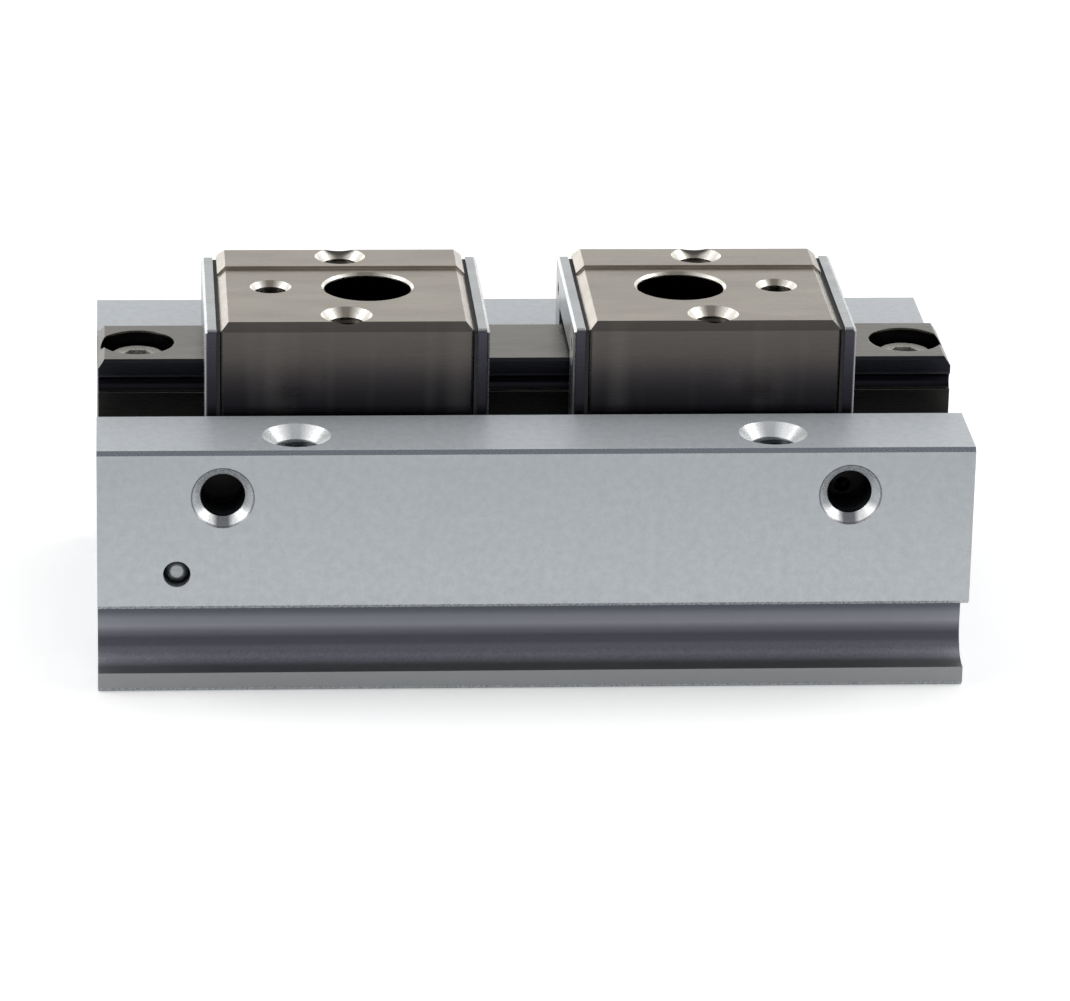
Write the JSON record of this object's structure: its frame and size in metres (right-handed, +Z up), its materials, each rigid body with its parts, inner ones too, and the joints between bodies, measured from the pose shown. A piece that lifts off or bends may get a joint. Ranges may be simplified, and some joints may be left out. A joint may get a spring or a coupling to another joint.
{
  "type": "pneumatic gripper",
  "caption": "Low parallel gripper worked by air: a flat body with a guide rail on top, on which guide blocks slide apart and together.",
  "frame": {"origin": "middle of the underside", "axes": "+X along the rail and the fingers' travel, +Y away from the air ports, +Z up, out of the fingers' tops"},
  "size_m": [0.0826, 0.045, 0.0338],
  "materials": {
    "body_aluminium": "matte hard anodised, pale grey",
    "rail_steel": "ground bearing steel",
    "block_steel": "ground stainless steel",
    "plate_steel": "polished stainless sheet",
    "black_rubber": "black nitrile rubber",
    "screw_steel": "plain stainless steel",
    "ball_steel": "polished bearing steel",
    "bearing_plastic": "natural plastic",
    "cap_aluminium": "anodised aluminium",
    "spring_steel": "blackened spring steel",
    "piston_steel": "turned and milled stainless steel",
    "hardened_steel": "hardened and ground steel",
    "washer_bronze": "bearing bronze",
    "magnet_metal": "nickel plated magnet"
  },
  "bodies": {
    "base": {"body": "body_aluminium", "bore_cap_front_left": "cap_aluminium", "bore_cap_front_right": "cap_aluminium", "bore_cap_rear_left": "cap_aluminium", "bore_cap_rear_right": "cap_aluminium", "bumper_front_left": "black_rubber", "bumper_front_right": "black_rubber", "bumper_rear_left": "black_rubber", "bumper_rear_right": "black_rubber", "cap_o_ring_front_left": "black_rubber", "cap_o_ring_front_right": "black_rubber", "cap_o_ring_rear_left": "black_rubber", "cap_o_ring_rear_right": "black_rubber", "cap_snap_ring_front_left": "spring_steel", "cap_snap_ring_front_right": "spring_steel", "cap_snap_ring_rear_left": "spring_steel", "cap_snap_ring_rear_right": "spring_steel", "guide_rail": "rail_steel", "passage_plug_ball": "ball_steel", "pinion_cover": "cap_aluminium", "pinion_cover_o_ring": "black_rubber", "pinion_cover_snap_ring": "spring_steel", "pinion_pin": "hardened_steel", "rail_screws": "screw_steel", "thrust_washer_lower": "washer_bronze", "thrust_washer_upper": "washer_bronze"},
    "left_finger": {"left_ball_retainers": "bearing_plastic", "left_bearing_balls": "ball_steel", "left_drive_pin": "hardened_steel", "left_end_plate_screws": "screw_steel", "left_guide_block": "block_steel", "left_inner_end_plate": "plate_steel", "left_inner_end_seal": "black_rubber", "left_outer_end_plate": "plate_steel", "left_outer_end_seal": "black_rubber", "left_piston": "piston_steel", "left_piston_magnet": "magnet_metal", "left_piston_seals": "black_rubber", "left_wear_ring": "bearing_plastic"},
    "right_finger": {"right_ball_retainers": "bearing_plastic", "right_bearing_balls": "ball_steel", "right_drive_pin": "hardened_steel", "right_end_plate_screws": "screw_steel", "right_guide_block": "block_steel", "right_inner_end_plate": "plate_steel", "right_inner_end_seal": "black_rubber", "right_outer_end_plate": "plate_steel", "right_outer_end_seal": "black_rubber", "right_piston": "piston_steel", "right_piston_magnet": "magnet_metal", "right_piston_seals": "black_rubber", "right_wear_ring": "bearing_plastic"},
    "pinion": {"pinion": "hardened_steel"}
  },
  "joints": [
    {"name": "left_finger_slide", "type": "slide", "parent": "base", "child": "left_finger", "axis": [-1, 0, 0], "range_m": [0, 0.008]},
    {"name": "right_finger_slide", "type": "slide", "parent": "base", "child": "right_finger", "axis": [1, 0, 0], "range_m": [0, 0.008]},
    {"name": "pinion_turn", "type": "hinge", "parent": "base", "child": "pinion", "pos_m": [0, 0, 0.0122], "axis": [0, 0, -1], "range_deg": [0, 153]}
  ],
  "couplings": [
    {"joint": "right_finger_slide", "follows": "left_finger_slide", "ratio": 1},
    {"joint": "pinion_turn", "follows": "left_finger_slide", "rad_per_m": 333.33}
  ]
}
